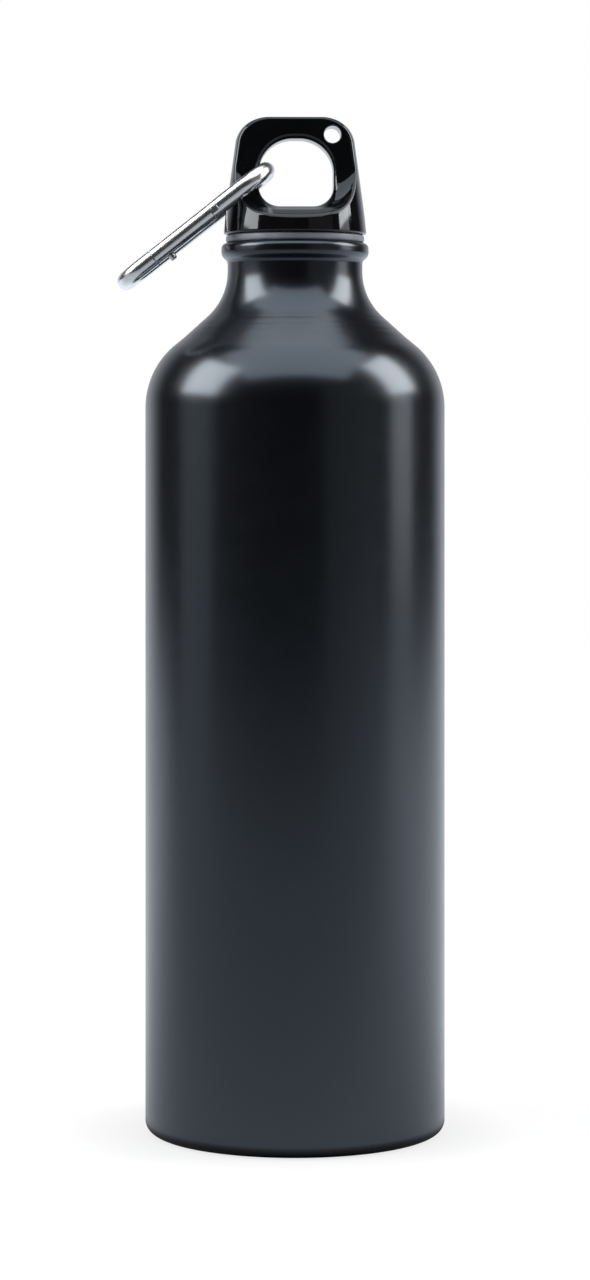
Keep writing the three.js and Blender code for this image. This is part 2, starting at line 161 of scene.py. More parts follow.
# %% Sizes of the shell
BODY_RADIUS = 36.95
SIDE_WALL = 0.9
BASE_CORNER = 3.0
STAND_INNER = 30.0
BASE_RISE = 6.0
SIDE_TOP = 178.5
SHOULDER_LEAN = 48.8
SHOULDER_ROUND = 20.0
NECK_RADIUS = 16.65
NECK_WALL = 1.7
NECK_ROUND = 15.0
NECK_Z = 212.15
MOUTH_EDGE = 0.8
LIP_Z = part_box("bottle_body")[1].z / MM
print(f"shell: {2 * BODY_RADIUS:.1f} mm across, lip at {LIP_Z:.2f} mm")

# %% [markdown]
# ## Marks of the necking
# The shoulder is pressed in by several rings, one after the other, and each leaves a faint line
# that catches the light. A bump in the finish could fake them, but only a change of the cut line
# shows from every side, so the straight of the shoulder gets a shallow kink and three fine grooves.

# %% Straight of the shoulder with its marks
KINK_AT = 0.32
KINK_DEPTH = 0.12
GROOVES_AT = (0.54, 0.72, 0.93)
GROOVE_DEPTH = 0.025
GROOVE_WIDE = 0.035
NECKING_STEPS = 72


def necking_marks(low, high):
    low, high = np.array(low), np.array(high)
    inwards = np.array([low[1] - high[1], high[0] - low[0]])
    inwards = inwards / np.linalg.norm(inwards)
    marks = []
    for share in np.linspace(0, 1, NECKING_STEPS + 1)[1:-1]:
        kink = min(share / KINK_AT, (1 - share) / (1 - KINK_AT)) * KINK_DEPTH
        grooves = sum(math.exp(-((share - at) / GROOVE_WIDE) ** 2) for at in GROOVES_AT)
        depth = kink + GROOVE_DEPTH * grooves
        marks.append(tuple(low + (high - low) * share + inwards * depth))
    return marks


shoulder = (BODY_RADIUS - SHOULDER_ROUND, SIDE_TOP)
neck = (NECK_RADIUS + NECK_ROUND, NECK_Z)
shoulder_arc = arc(shoulder, SHOULDER_ROUND, 0, SHOULDER_LEAN, 20)
neck_arc = arc(neck, NECK_ROUND, 180 + SHOULDER_LEAN, 180, 16)
shoulder_line = shoulder_arc + necking_marks(shoulder_arc[-1], neck_arc[0]) + neck_arc
print("shoulder: corners in its cut line:", len(shoulder_line))

# %% [markdown]
# ## Rolled lip
# The lip is rolled into a bead with a tight upper edge, and it runs into the neck in a small hollow.
# A separate ring would leave a seam, so three arcs that touch each other carry the cut line round it.

# %% Bead and the hollow under it
BEAD_ROUND = 2.15
BEAD_OUT = 1.55
BEAD_TOP = 1.3
BEAD_HOLLOW = 1.6
bead = (NECK_RADIUS + BEAD_OUT - BEAD_ROUND, LIP_Z - BEAD_ROUND)
bead_top = (bead[0] + BEAD_ROUND - BEAD_TOP, LIP_Z - BEAD_TOP)
hollow_x = NECK_RADIUS + BEAD_HOLLOW
hollow_drop = math.sqrt((BEAD_ROUND + BEAD_HOLLOW) ** 2 - (hollow_x - bead[0]) ** 2)
hollow_end = math.degrees(math.atan2(hollow_drop, bead[0] - hollow_x))
mouth = (NECK_RADIUS - NECK_WALL + MOUTH_EDGE, LIP_Z - MOUTH_EDGE)
lip_line = arc((hollow_x, bead[1] - hollow_drop), BEAD_HOLLOW, 180, hollow_end, 8)
lip_line += arc(bead, BEAD_ROUND, hollow_end - 180, 0, 8)[1:]
lip_line += arc(bead_top, BEAD_TOP, 0, 90, 8)
lip_line += arc(mouth, MOUTH_EDGE, 90, 180, 6)
print(f"lip: bead stands out {BEAD_OUT} mm, mouth {2 * (NECK_RADIUS - NECK_WALL):.1f} mm wide")

# %% Turn the shell
dome = (STAND_INNER ** 2 + BASE_RISE ** 2) / (2 * BASE_RISE)
dome_centre = (0, BASE_RISE - dome)
dome_edge = math.degrees(math.acos(STAND_INNER / dome))
corner = (BODY_RADIUS - BASE_CORNER, BASE_CORNER)
coated_line = arc(dome_centre, dome, 90, dome_edge, 12)
coated_line += arc(corner, BASE_CORNER, -90, 0, 10)
coated_line += shoulder_line + lip_line
lined_line = coated_line[-1:]
lined_line += arc(neck, NECK_ROUND + NECK_WALL, 180, 180 + SHOULDER_LEAN, 12)
lined_line += arc(shoulder, SHOULDER_ROUND - SIDE_WALL, SHOULDER_LEAN, 0, 12)
lined_line += arc(corner, BASE_CORNER - SIDE_WALL, 0, -90, 6)
lined_line += arc(dome_centre, dome + SIDE_WALL, dome_edge, 90, 10)
bottle_shell = turn(draw_line("bottle_shell", coated_line + lined_line[1:]), sides=160)
hand_over(bottle_shell, "bottle", "bottle_body")

# %% [markdown]
# ## The sealing ring
# A ring of grey silicone lies between the lip and the cap. It is pressed a little, so its outer
# edge is soft and it fills the height between the two. A torus would be round all over, so the ring
# is turned from its own cut line, flat where it is pressed.

# %% Turn the sealing ring
PLUG_RADIUS = 13.4
SLIDING_GAP = 0.25
SEAL_INNER = PLUG_RADIUS + SLIDING_GAP
SEAL_OUTER = 17.1
SEAL_LOW = LIP_Z + 0.05
SEAL_HIGH = LIP_Z + 2.05
SEAL_EDGE = 0.7
seal_edge_x = SEAL_OUTER - SEAL_EDGE
seal_line = [(SEAL_INNER, SEAL_LOW)]
seal_line += arc((seal_edge_x, SEAL_LOW + SEAL_EDGE), SEAL_EDGE, -90, 0, 6)
seal_line += arc((seal_edge_x, SEAL_HIGH - SEAL_EDGE), SEAL_EDGE, 0, 90, 6)
seal_line += [(SEAL_INNER, SEAL_HIGH), (SEAL_INNER, SEAL_LOW)]
seal_ring = turn(draw_line("seal_ring", seal_line), sides=128)
hand_over(seal_ring, "seal", "sealing_ring")

# %% [markdown]
# ## The cap's rough form
# The cap is one gloss moulding. Its form is a turned cone with round shoulders that is scooped out
# at the front and the back until a flat loop is left, with a window and a small hole for a cord.
# The scoops rise a little towards the sides. The same cuts are made here: a turned blank, and
# cutters that are drawn, filled and extruded.

# %% Sizes of the cap
CAP_LOW = LIP_Z + 2.1
CAP_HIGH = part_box("cap_shell")[1].z / MM
CAP_RIM = 17.85
CAP_TAPER = math.radians(7.75)
CAP_ROUND = 7.2
LOOP_HALF = 4.8
SOCKET_RADIUS = PLUG_RADIUS + SLIDING_GAP
SOCKET_HIGH = CAP_LOW + 3.85
CORD_HOLE = 2.1
CORD_FROM_EDGE = 3.8
CORD_TURN = math.radians(58)
CORD_SHIFT = -0.3

round_z = CAP_HIGH - CAP_ROUND
taper_high = round_z + CAP_ROUND * math.sin(CAP_TAPER) - CAP_LOW
round_x = CAP_RIM - taper_high * math.tan(CAP_TAPER) - CAP_ROUND * math.cos(CAP_TAPER)
cord_reach = CAP_ROUND - CORD_FROM_EDGE
cord_x = round_x + cord_reach * math.cos(CORD_TURN) + CORD_SHIFT
cord_z = round_z + cord_reach * math.sin(CORD_TURN)
print(f"cap: shoulder {round_x:.2f}, {round_z:.2f}; cord hole {cord_x:.2f}, {cord_z:.2f} mm")

# %% Line of the scoop
SCOOP_ROUND = 9.6
SCOOP_Z = CAP_LOW + 15.05
SCOOP_TURN = math.radians(71)
SCOOP_FLAT = 9.0
SCOOP_RISE = 0.1
FAR = 25.0
OVER = 5.0


def scoop_rise(across):
    return SCOOP_RISE * np.maximum(np.abs(across) - SCOOP_FLAT, 0) ** 2


scoop_centre = LOOP_HALF + SCOOP_ROUND
scoop_line = [(FAR, CAP_HIGH + OVER), (LOOP_HALF, CAP_HIGH + OVER)]
scoop_line += arc((scoop_centre, SCOOP_Z), SCOOP_ROUND, 180, 180 + math.degrees(SCOOP_TURN), 16)
scoop_y, scoop_z = scoop_line[-1]
scoop_line += [(FAR, scoop_z - (FAR - scoop_y) / math.tan(SCOOP_TURN))]
print(f"scoop: hollow ends {scoop_z - CAP_LOW:.2f} mm over the rim")

# %% Line of the window
WINDOW_X = 0.2
WINDOW_HALF = 9.2
WINDOW_LOW = CAP_LOW + 6.65
WINDOW_HIGH = CAP_HIGH - 5.35
WINDOW_TOP_ROUND = 8.4
WINDOW_LOW_ROUND = 5.2
window_line = []
for side, z, size, start in (
    (1, WINDOW_LOW + WINDOW_LOW_ROUND, WINDOW_LOW_ROUND, -90),
    (1, WINDOW_HIGH - WINDOW_TOP_ROUND, WINDOW_TOP_ROUND, 0),
    (-1, WINDOW_HIGH - WINDOW_TOP_ROUND, WINDOW_TOP_ROUND, 90),
    (-1, WINDOW_LOW + WINDOW_LOW_ROUND, WINDOW_LOW_ROUND, 180),
):
    window_line += arc((WINDOW_X + side * (WINDOW_HALF - size), z), size, start, start + 90, 12)
print(f"window: {2 * WINDOW_HALF:.1f} by {WINDOW_HIGH - WINDOW_LOW:.1f} mm")

# %% Turn the blank
blank_line = [(0, SOCKET_HIGH), (SOCKET_RADIUS, SOCKET_HIGH)]
blank_line += [(SOCKET_RADIUS, CAP_LOW), (CAP_RIM, CAP_LOW)]
blank_line += arc((round_x, round_z), CAP_ROUND, math.degrees(CAP_TAPER), 90, 14)
blank_line += [(0, CAP_HIGH)]
cap_loop = turn(draw_line("cap_loop", blank_line), sides=96)
print("cap_loop: faces of the blank:", len(cap_loop.data.polygons))

# %% Scoop out the front and the back
SCOOP_STEPS = 50


def work(piece, kind, **settings):
    take_up(piece)
    bpy.ops.object.modifier_add(type=kind)
    change = piece.modifiers[-1]
    for setting, value in settings.items():
        setattr(change, setting, value)
    bpy.ops.object.modifier_apply(modifier=change.name)


def cut(piece, tool, operation="DIFFERENCE"):
    work(piece, "BOOLEAN", operation=operation, solver="EXACT", object=tool)
    bpy.data.objects.remove(tool)


def slab(corners, half, steps=1):
    tool = draw_line("cutter", corners)
    open_mesh(tool)
    bpy.ops.mesh.edge_face_add()
    bpy.ops.transform.translate(value=(0, -half * MM, 0))
    push = {"value": (0, 2 * half / steps * MM, 0)}
    for _ in range(steps):
        bpy.ops.mesh.extrude_region_move(TRANSFORM_OT_translate=push)
    face_outwards(tool)
    return tool


for quarter in (90, -90):
    scoop = slab(scoop_line, FAR, SCOOP_STEPS)
    for point in scoop.data.vertices:
        point.co.z += scoop_rise(point.co.y / MM) * MM
    scoop.rotation_euler.z = math.radians(quarter)
    take_up(scoop)
    bpy.ops.object.transform_apply(location=True, rotation=True, scale=True)
    cut(cap_loop, scoop)
print("cap_loop: faces with its scoops:", len(cap_loop.data.polygons))


# %% Cut the window and the cord hole
def circle(centre, radius, sides):
    return arc(centre, radius, 0, 360 - 360 / sides, sides - 1)


cut(cap_loop, slab(window_line, FAR))
cut(cap_loop, slab(circle((cord_x, cord_z), CORD_HOLE, 24), FAR))
print("cap_loop: faces of the rough form:", len(cap_loop.data.polygons))

# %% [markdown]
# ## The cap's gloss surface
# A mould leaves no sharp edge, and on a mirror gloss the thin bright line along each rounded edge
# is most of what the eye sees. A bevel on these crossing cuts would break up, so the rough form is
# remeshed into small even faces, and every corner is then drawn onto the exact form. That form is
# written as distances: how far a point is from the cone, the scoop, the window and the holes. Where
# two of them meet, the edge is rounded by a radius. The slope of the distance gives the normal.

# %% Distances to the turned form and the scoop
CAP_BELLY = 7.0
BELLY_IN = 0.16


def turned_distance(out, z):
    side = (out - CAP_RIM) * math.cos(CAP_TAPER) + (z - CAP_LOW) * math.sin(CAP_TAPER)
    side = side + BELLY_IN * np.clip(1 - (z - CAP_LOW) / CAP_BELLY, 0, 1) ** 2
    x, up = out - round_x, z - round_z
    on_round = (x > 0) & (up * math.cos(CAP_TAPER) > x * math.sin(CAP_TAPER))
    return np.where(on_round, np.hypot(x, up) - CAP_ROUND, np.maximum(side, z - CAP_HIGH))


def scoop_distance(x, y, z):
    y, z = np.abs(y), z - scoop_rise(x)
    slope = (y - scoop_y) * math.cos(SCOOP_TURN) + (z - scoop_z) * math.sin(SCOOP_TURN)
    hollow = SCOOP_ROUND - np.hypot(y - scoop_centre, z - SCOOP_Z)
    past = (scoop_centre - y) * math.sin(SCOOP_TURN) < (SCOOP_Z - z) * math.cos(SCOOP_TURN)
    return np.where(z > SCOOP_Z, y - LOOP_HALF, np.where(past, slope, hollow))


print(f"cap: the loop is {-2 * scoop_distance(0.0, 0.0, CAP_HIGH):.1f} mm thick")

# %% Distance to the whole cap
RIM_EDGE = 0.6
OUTLINE_EDGE = 0.75
WINDOW_EDGE = 1.4
CORD_EDGE = 0.3
SOCKET_EDGE = 0.2


def window_distance(x, z):
    middle = (WINDOW_LOW + WINDOW_HIGH) / 2
    size = np.where(z > middle, WINDOW_TOP_ROUND, WINDOW_LOW_ROUND)
    across = np.abs(x - WINDOW_X) - WINDOW_HALF + size
    along = np.abs(z - middle) - (WINDOW_HIGH - WINDOW_LOW) / 2 + size
    outside = np.hypot(np.maximum(across, 0), np.maximum(along, 0))
    return outside + np.minimum(np.maximum(across, along), 0) - size


def inside_both(a, b, edge):
    rounded = np.hypot(np.maximum(a + edge, 0), np.maximum(b + edge, 0))
    return np.minimum(np.maximum(a, b), -edge) + rounded


def cap_distance(points):
    x, y, z = points.T
    out = np.hypot(x, y)
    form = inside_both(turned_distance(out, z), CAP_LOW - z, RIM_EDGE)
    form = inside_both(form, scoop_distance(x, y, z), OUTLINE_EDGE)
    form = inside_both(form, -window_distance(x, z), WINDOW_EDGE)
    form = inside_both(form, CORD_HOLE - np.hypot(x - cord_x, z - cord_z), CORD_EDGE)
    socket = np.maximum(out - SOCKET_RADIUS, z - SOCKET_HIGH)
    return inside_both(form, -socket, SOCKET_EDGE)


def cap_slope(points, step=0.002):
    slope = np.empty_like(points)
    for axis, shift in enumerate(np.eye(3) * step):
        ahead, behind = cap_distance(points + shift), cap_distance(points - shift)
        slope[:, axis] = (ahead - behind) / (2 * step)
    return slope


shoulder_depth = -cap_distance(np.array([[round_x, 0.0, round_z]]))[0]
print(f"cap: the centre of its shoulder is {shoulder_depth:.2f} mm under the surface")

# %% Remesh and draw the corners onto the form
CAP_FACE = 0.3
DRAW_ROUNDS = 8
LEAST_STEEP = 0.2
work(cap_loop, "REMESH", mode="VOXEL", voxel_size=CAP_FACE * MM)
corners = np.empty(len(cap_loop.data.vertices) * 3)
cap_loop.data.vertices.foreach_get("co", corners)
corners = corners.reshape(-1, 3) / MM
for _ in range(DRAW_ROUNDS):
    slope = cap_slope(corners)
    steepness = np.maximum((slope ** 2).sum(1), LEAST_STEEP)
    corners -= slope * (cap_distance(corners) / steepness)[:, None]
cap_loop.data.vertices.foreach_set("co", (corners * MM).ravel())
cap_loop.data.update()
print(f"cap_loop: farthest corner from the form {np.abs(cap_distance(corners)).max():.4f} mm")

# %% Give the cap its exact normals
LEAST_LENGTH = 1e-6
take_up(cap_loop)
bpy.ops.object.shade_smooth()
slope = cap_slope(corners)
slope /= np.maximum(np.linalg.norm(slope, axis=1), LEAST_LENGTH)[:, None]
cap_loop.data.normals_split_custom_set_from_vertices(slope)
hand_over(cap_loop, "cap", "cap_shell")

# %% [markdown]
# ## The threaded plug
# Under the cap is a hollow plug with a coarse thread. It shows when the cap is unscrewed. The plug
# is turned, and the thread is a small trapezium carried up a right-handed helix by a Screw
# modifier, four millimetres a turn as the cap's motion has it. Its two ends are drawn in to the
# core, as a moulded thread runs out.

# %% Turn the plug
PLUG_LOW = LIP_Z - 12
PLUG_HIGH = CAP_LOW + 3.6
PLUG_INNER = 11.7
PLUG_FLOOR = PLUG_LOW + 1.8
PLUG_EDGE = 1.0
PLUG_END = 12.2
PLUG_TOP_EDGE = 0.4
plug_line = [(0, PLUG_LOW), (PLUG_END, PLUG_LOW)]
plug_line += arc((PLUG_RADIUS - PLUG_EDGE, PLUG_LOW + PLUG_EDGE), PLUG_EDGE, -90, 0, 6)
plug_line += [(PLUG_RADIUS, PLUG_HIGH - PLUG_TOP_EDGE), (PLUG_RADIUS - PLUG_TOP_EDGE, PLUG_HIGH)]
plug_line += [(PLUG_INNER, PLUG_HIGH), (PLUG_INNER, PLUG_FLOOR + PLUG_EDGE)]
plug_line += [(PLUG_INNER - PLUG_EDGE, PLUG_FLOOR), (0, PLUG_FLOOR)]
cap_thread_plug = turn(draw_line("cap_thread_plug", plug_line), sides=128)
print(f"plug: {2 * PLUG_RADIUS:.1f} mm across, {PLUG_HIGH - PLUG_LOW:.1f} mm long")


# %% Wind a section up a helix
def close_ends(piece):
    open_mesh(piece)
    bpy.ops.mesh.fill_holes(sides=0)
    face_outwards(piece)
    return piece


def wind(name, section, turns, pitch, steps):
    coil = draw_line(name, section)
    open_mesh(coil)
    bpy.ops.mesh.edge_face_add()
    count = round(steps * turns)
    work(
        coil, "SCREW", angle=2 * math.pi * turns, screw_offset=pitch * turns * MM,
        steps=count, render_steps=count,
    )
    return close_ends(coil)


THREAD_PITCH = 4.0
THREAD_TURNS = 2.2
THREAD_STEPS = 64
THREAD_ROOT = 12.9
THREAD_CREST = 14.45
THREAD_LOW = PLUG_LOW + 2.6
thread_line = [(THREAD_ROOT, -1.15), (PLUG_RADIUS, -1.0), (THREAD_CREST, -0.45)]
thread_line += [(THREAD_CREST, 0.45), (PLUG_RADIUS, 1.0), (THREAD_ROOT, 1.15)]
thread_line = [(x, z + THREAD_LOW) for x, z in thread_line]
thread = wind("thread", thread_line, THREAD_TURNS, THREAD_PITCH, THREAD_STEPS)
print("thread: faces:", len(thread.data.polygons))

# %% Draw in its ends and join it to the plug
RUN_OUT = math.radians(40)
SMOOTH_UNDER = math.radians(35)
ROUND = 2 * math.pi
for point in thread.data.vertices:
    out = math.hypot(point.co.x, point.co.y)
    rise = (point.co.z / MM - THREAD_LOW) / THREAD_PITCH * ROUND
    angle = math.atan2(point.co.y, point.co.x)
    turned = angle + ROUND * round((rise - angle) / ROUND)
    end = min(turned, ROUND * THREAD_TURNS - turned)
    share = min(max(end / RUN_OUT, 0), 1)
    drawn_in = min(out, (THREAD_ROOT + (out / MM - THREAD_ROOT) * share) * MM) / out
    point.co.x *= drawn_in
    point.co.y *= drawn_in
cut(cap_thread_plug, thread, "UNION")
take_up(cap_thread_plug)
bpy.ops.object.shade_smooth_by_angle(angle=SMOOTH_UNDER)
hand_over(cap_thread_plug, "cap", "cap_plug")

# %% [markdown]
# ## The hook's bent rod
# The hook is a polished rod that is bent to a long loop, open on one side where the gate closes it.
# It is bent here as on a bench: a circle is extruded along each straight, and Spin carries it round
# each bend. A curve with a round section would do it too, but its bends are harder to set to a
# radius. The rod is made flat, with X from the narrow end to the bow, and is put in its place last.

# %% Sizes of the hook
HOOK_SPAN = 43.76
HOOK_DROP = math.radians(38.1)
NARROW_HALF = 6.0
WIDE_HALF = 11.7
RIVET_AT = 12.7
hook_joint, gate_joint = (
    next(joint for joint in frame["joints"] if joint["name"] == name)
    for name in ("hook_swing", "gate_open")
)
HOOK_PLACE = Matrix.Translation(hook_joint["pos_m"]) @ Matrix.Rotation(-HOOK_DROP, 4, "Y")
gate_lean = math.atan2(WIDE_HALF - NARROW_HALF, HOOK_SPAN)
gate_way = Vector((math.cos(gate_lean), -math.sin(gate_lean), 0))
narrow_corner = Vector((-HOOK_SPAN, -NARROW_HALF, 0))
GATE_IN_HOOK = Matrix.Translation((narrow_corner + gate_way * RIVET_AT) * MM)
GATE_IN_HOOK = GATE_IN_HOOK @ Matrix.Rotation(-gate_lean, 4, "Z")
GATE_PLACE = HOOK_PLACE @ GATE_IN_HOOK
rivet_miss = (GATE_PLACE.translation - Vector(gate_joint["pos_m"])).length
print(f"hook: rivet is {rivet_miss / MM:.3f} mm from the gate's joint")

# %% Path of the rod
HOOK_ROD = 2.12
NARROW_ROUND = 5.2
WIDE_ROUND = 6.5
TONGUE_REACH = 2.0
LATCH_AT = 27.0
LATCH_GAP = 0.25
rod_path = [
    narrow_corner + gate_way * (RIVET_AT + TONGUE_REACH),
    narrow_corner,
    Vector((-HOOK_SPAN, NARROW_HALF, 0)),
    Vector((0, WIDE_HALF, 0)),
    Vector((0, -WIDE_HALF, 0)),
    narrow_corner + gate_way * (LATCH_AT + LATCH_GAP),
]
rod_rounds = (NARROW_ROUND, NARROW_ROUND, WIDE_ROUND, WIDE_ROUND)
path_length = sum((there - here).length for here, there in zip(rod_path, rod_path[1:]))
print(f"hook: {path_length:.1f} mm of path before its bends are rounded")


# %% Bend the rod
def start_rod(name, radius, at, way, sides):
    put_down()
    heading = math.atan2(way.y, way.x)
    bpy.ops.mesh.primitive_circle_add(
        vertices=sides, radius=radius * MM, location=at * MM, rotation=(0, math.pi / 2, heading)
    )
    rod = bpy.context.object
    rod.name = rod.data.name = name
    bpy.ops.object.transform_apply(location=True, rotation=True, scale=True)
    open_mesh(rod)
    return rod


def pull(way):
    bpy.ops.mesh.extrude_edges_move(TRANSFORM_OT_translate={"value": way * MM})


def bend_rod(name, radius, path, rounds, sides=32, steps=20):
    at = path[0]
    rod = start_rod(name, radius, at, path[1] - path[0], sides)
    for before, bend, after, size in zip(path, path[1:], path[2:], rounds):
        inwards = (before - bend).normalized()
        onwards = (after - bend).normalized()
        half = math.acos(inwards.dot(onwards)) / 2
        from_bend = size / math.tan(half)
        pull(bend + inwards * from_bend - at)
        centre = bend + (inwards + onwards).normalized() * (size / math.sin(half))
        bpy.ops.mesh.spin(
            steps=steps, angle=math.pi - 2 * half, center=centre * MM, axis=(0, 0, 1)
        )
        at = bend + onwards * from_bend
    pull(path[-1] - at)
    return close_ends(rod)


hook_rod = bend_rod("hook_rod", HOOK_ROD, rod_path, rod_rounds)
print("hook_rod: faces of the bent rod:", len(hook_rod.data.polygons))

# %% [markdown]
# ## Tongue and nose
# At the rivet the rod is milled to a flat tongue with a round end, which sits inside the gate's
# fork. At the other end the nose has a slot for the gate's blade and a notch that its cross pin
# drops into. Each cut is a box in the gate's own direction, taken off with a Boolean, as a cutter
# would take it off a bar.

# %% Sizes of the tongue and the nose
GATE_TAIL = 3.6
TAIL_GAP = 0.35
FINE_GAP = 0.08
TONGUE_THICK = 0.7
TONGUE_HALF = 1.45
TONGUE_NOSE = 0.55
BLADE_THICK = 0.6
BLADE_REACH = 1.7
LATCH_PIN = 0.45
RIVET_SHANK = 0.65
CLEAR = 6
PAST_TONGUE = 3
PAST_NOSE = 1
latch_reach = LATCH_AT - RIVET_AT
latch_pin_at = latch_reach + LATCH_GAP + BLADE_REACH / 2
tail = -GATE_TAIL - TAIL_GAP
tip = TONGUE_REACH + PAST_TONGUE
pin_room = LATCH_PIN + SLIDING_GAP
blade_room = BLADE_THICK + FINE_GAP
slot_end = latch_reach + BLADE_REACH + 2 * LATCH_GAP
pin_from, pin_to = latch_pin_at - pin_room, latch_pin_at + pin_room
print(f"gate: latch {latch_reach:.1f} mm and cross pin {latch_pin_at:.2f} mm from the rivet")

# %% Mill the rod's two ends
THROUGH = 10


def settle(piece, place):
    take_up(piece)
    piece.matrix_world = place
    bpy.ops.object.transform_apply(location=True, rotation=True, scale=True)
    return piece


def block(low, high):
    low, high = Vector(low) * MM, Vector(high) * MM
    put_down()
    bpy.ops.mesh.primitive_cube_add(size=1, location=(low + high) / 2, scale=high - low)
    bpy.ops.object.transform_apply(location=True, rotation=True, scale=True)
    return bpy.context.object


def drill(radius, x, half=THROUGH):
    put_down()
    bpy.ops.mesh.primitive_cylinder_add(
        vertices=32, radius=radius * MM, depth=2 * half * MM, location=(x * MM, 0, 0)
    )
    bpy.ops.object.transform_apply(location=True, rotation=True, scale=True)
    return bpy.context.object


mill_cuts = (
    block((tail, -CLEAR, TONGUE_THICK), (tip, CLEAR, CLEAR)),
    block((tail, -CLEAR, -CLEAR), (tip, CLEAR, -TONGUE_THICK)),
    block((tail, TONGUE_HALF, -CLEAR), (tip, CLEAR, CLEAR)),
    block((tail, -CLEAR, -CLEAR), (tip, -TONGUE_HALF, CLEAR)),
    block((0, TONGUE_NOSE, -CLEAR), (tip, CLEAR, CLEAR)),
    block((0, -CLEAR, -CLEAR), (tip, -TONGUE_NOSE, CLEAR)),
    block((latch_reach - PAST_NOSE, -CLEAR, -blade_room), (slot_end, CLEAR, blade_room)),
    block((pin_from, -pin_room, -CLEAR), (pin_to, CLEAR, CLEAR)),
)
for tool in mill_cuts:
    cut(hook_rod, settle(tool, GATE_IN_HOOK))
cut(hook_rod, settle(drill(TONGUE_HALF, 0, TONGUE_THICK), GATE_IN_HOOK), "UNION")
cut(hook_rod, settle(drill(RIVET_SHANK + FINE_GAP, 0), GATE_IN_HOOK))
print("hook_rod: faces after milling:", len(hook_rod.data.polygons))

# %% Break the sharp edges and put the rod in its place
ROD_EDGE = 0.12
BREAK_OVER = math.radians(40)
FINE_MESH = 5e-6


def break_edges(piece, width):
    work(
        piece, "BEVEL", limit_method="ANGLE", angle_limit=BREAK_OVER, width=width * MM,
        segments=2,
    )
    open_mesh(piece)
    bpy.ops.mesh.dissolve_degenerate(threshold=FINE_MESH)
    face_outwards(piece)
    take_up(piece)
    bpy.ops.object.shade_smooth_by_angle(angle=SMOOTH_UNDER)


break_edges(hook_rod, ROD_EDGE)
settle(hook_rod, HOOK_PLACE)
hand_over(hook_rod, "hook", "hook_frame")

# %% [markdown]
# ## The gate
# The gate is a straight bar of the same bright metal: a fork at the rivet that is closed at its
# front, a bore for the spring and a flat blade at the tip. Its heel is trimmed, so that it clears
# the rod when it opens. It is made along X with the rivet at the origin, where each cut is simple.

# %% Bar and blade
GATE_ROD = 2.08
BLADE_HALF = 1.4
BLADE_ROOT = 2.5


def straight_rod(name, radius, start, end, sides):
    rod = start_rod(name, radius, Vector((start, 0, 0)), Vector((1, 0, 0)), sides)
    pull(Vector((end - start, 0, 0)))
    return close_ends(rod)


gate_bar = straight_rod("gate_bar", GATE_ROD, -GATE_TAIL, latch_reach, 32)
blade_low = (latch_reach - BLADE_ROOT, -BLADE_HALF, -BLADE_THICK)
blade_high = (latch_reach + LATCH_GAP + BLADE_REACH, BLADE_HALF, BLADE_THICK)
cut(gate_bar, block(blade_low, blade_high), "UNION")
print("gate_bar: faces with its blade:", len(gate_bar.data.polygons))

# %% Fork, heel, bore and pin holes
GATE_FRONT = TONGUE_HALF + FINE_GAP
HEEL_CUT = 0.5
PAST_FORK = 5
PAST_HEEL = 1
BORE = 0.95
BORE_END = 12.85
GATE_EDGE = 0.15
fork_end = math.hypot(TONGUE_REACH, TONGUE_NOSE) + FINE_GAP
fork_room = TONGUE_THICK + FINE_GAP
fork_low = (-GATE_TAIL - PAST_FORK, -GATE_FRONT, -fork_room)
heel_low = (-GATE_TAIL - PAST_HEEL, TONGUE_NOSE, -CLEAR)
cut(gate_bar, block(fork_low, (fork_end, CLEAR, fork_room)))
cut(gate_bar, block(heel_low, (-GATE_TAIL + HEEL_CUT, CLEAR, CLEAR)))
cut(gate_bar, straight_rod("bore", BORE, 0, BORE_END, 24))
cut(gate_bar, drill(RIVET_SHANK + FINE_GAP, 0))
cut(gate_bar, drill(LATCH_PIN + FINE_GAP, latch_pin_at))
break_edges(gate_bar, GATE_EDGE)
settle(gate_bar, GATE_PLACE)
hand_over(gate_bar, "gate", "hook_gate")

# %% [markdown]
# ## Rivet, cross pin and plunger
# The rivet holds the gate and ends in a round nub below the bar. The cross pin drops into the
# nose's notch, and the plunger rests on the tongue inside the bore. All three are small lathe work,
# so each is turned from a cut line with broken edges.

# %% Turn the rivet
NUB = 0.9
NUB_ROUND = 0.4
NUB_LONG = 1.4
RIVET_EDGE = 0.1
PIN_SMOOTH = math.radians(50)


def pin(name, line, place, sides=32):
    made = settle(turn(draw_line(name, line), sides), place)
    take_up(made)
    bpy.ops.object.shade_smooth_by_angle(angle=PIN_SMOOTH)
    return made


nub_end = -GATE_ROD - NUB_LONG
nub_top = -GATE_ROD - FINE_GAP
rivet_line = [(0, nub_end)]
rivet_line += arc((NUB - NUB_ROUND, nub_end + NUB_ROUND), NUB_ROUND, -90, 0, 6)
rivet_line += [(NUB, nub_top), (RIVET_SHANK, nub_top), (RIVET_SHANK, GATE_ROD - RIVET_EDGE)]
rivet_line += [(RIVET_SHANK - RIVET_EDGE, GATE_ROD), (0, GATE_ROD)]
rivet = pin("rivet", rivet_line, GATE_PLACE)
hand_over(rivet, "hook", "gate_rivet")

# %% Turn the cross pin and the plunger
CROSS_HALF = 1.5
CROSS_EDGE = 0.12
PLUNGER = 0.8
PLUNGER_LONG = 3
PLUNGER_EDGE = 0.2
PIN_SOFT = 0.3
PLUNGER_LOW = TONGUE_REACH + LATCH_GAP
PLUNGER_HIGH = PLUNGER_LOW + PLUNGER_LONG


def rod_line(radius, low, high, edge):
    soft = edge * PIN_SOFT
    return [
        (0, low), (radius - edge, low), (radius - soft, low + soft), (radius, low + edge),
        (radius, high - edge), (radius - soft, high - soft), (radius - edge, high), (0, high),
    ]


